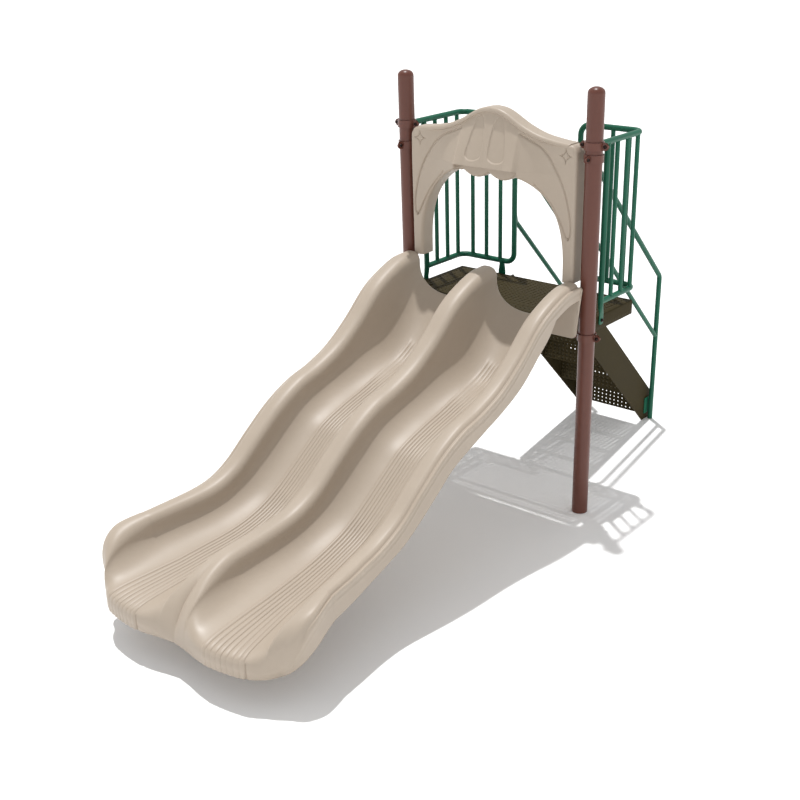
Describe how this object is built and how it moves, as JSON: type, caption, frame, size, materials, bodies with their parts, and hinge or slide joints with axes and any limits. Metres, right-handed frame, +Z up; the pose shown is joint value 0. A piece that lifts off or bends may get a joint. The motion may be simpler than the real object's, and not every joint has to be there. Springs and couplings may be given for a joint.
{
  "type": "double wave slide",
  "caption": "Free-standing double wave slide with two posts, an arched panel, a guarded deck and a rear stair with handrails.",
  "frame": {"origin": "middle of the footprint at ground level", "axes": "+Y towards the stair, -Y down the slide, +X to the right hand of a viewer who faces the arch from the slide's exit, +Z up"},
  "size_m": [1.392, 3.9732, 2.338],
  "materials": {
    "moulded_plastic": "tan rotationally moulded polyethylene, fine texture",
    "post_paint": "brown powder coat, semi-gloss",
    "rail_paint": "green powder coat, semi-gloss",
    "deck_coating": "dark brown vinyl coating over sheet steel, matt",
    "bolts": "darkened stainless steel"
  },
  "bodies": {
    "root": {"arch_panel": "moulded_plastic", "deck": "deck_coating", "deck_clamp_bolt_left": "bolts", "deck_clamp_bolt_right": "bolts", "deck_clamp_left": "post_paint", "deck_clamp_right": "post_paint", "exit_leg_left": "post_paint", "exit_leg_right": "post_paint", "guard_clamp_bolt_left": "bolts", "guard_clamp_bolt_right": "bolts", "guard_clamp_left": "post_paint", "guard_clamp_right": "post_paint", "guard_foot_bolt_left": "bolts", "guard_foot_bolt_right": "bolts", "guard_foot_left": "rail_paint", "guard_foot_right": "rail_paint", "guard_frame_left": "rail_paint", "guard_frame_right": "rail_paint", "guard_leg_bolt_left": "bolts", "guard_leg_bolt_right": "bolts", "guard_leg_left": "rail_paint", "guard_leg_right": "rail_paint", "guard_picket_left_1": "rail_paint", "guard_picket_left_2": "rail_paint", "guard_picket_left_3": "rail_paint", "guard_picket_left_4": "rail_paint", "guard_picket_left_5": "rail_paint", "guard_picket_left_6": "rail_paint", "guard_picket_right_1": "rail_paint", "guard_picket_right_2": "rail_paint", "guard_picket_right_3": "rail_paint", "guard_picket_right_4": "rail_paint", "guard_picket_right_5": "rail_paint", "guard_picket_right_6": "rail_paint", "handrail_left": "rail_paint", "handrail_lower_left": "rail_paint", "handrail_lower_right": "rail_paint", "handrail_right": "rail_paint", "handrail_tab_left": "rail_paint", "handrail_tab_right": "rail_paint", "panel_clamp_bolt_left": "bolts", "panel_clamp_bolt_right": "bolts", "panel_clamp_left": "post_paint", "panel_clamp_right": "post_paint", "post_cap_left": "post_paint", "post_cap_right": "post_paint", "post_left": "post_paint", "post_right": "post_paint", "slide": "moulded_plastic", "step_1": "deck_coating", "step_2": "deck_coating", "step_3": "deck_coating", "step_4": "deck_coating", "stringer_left": "deck_coating", "stringer_right": "deck_coating"}
  },
  "joints": []
}
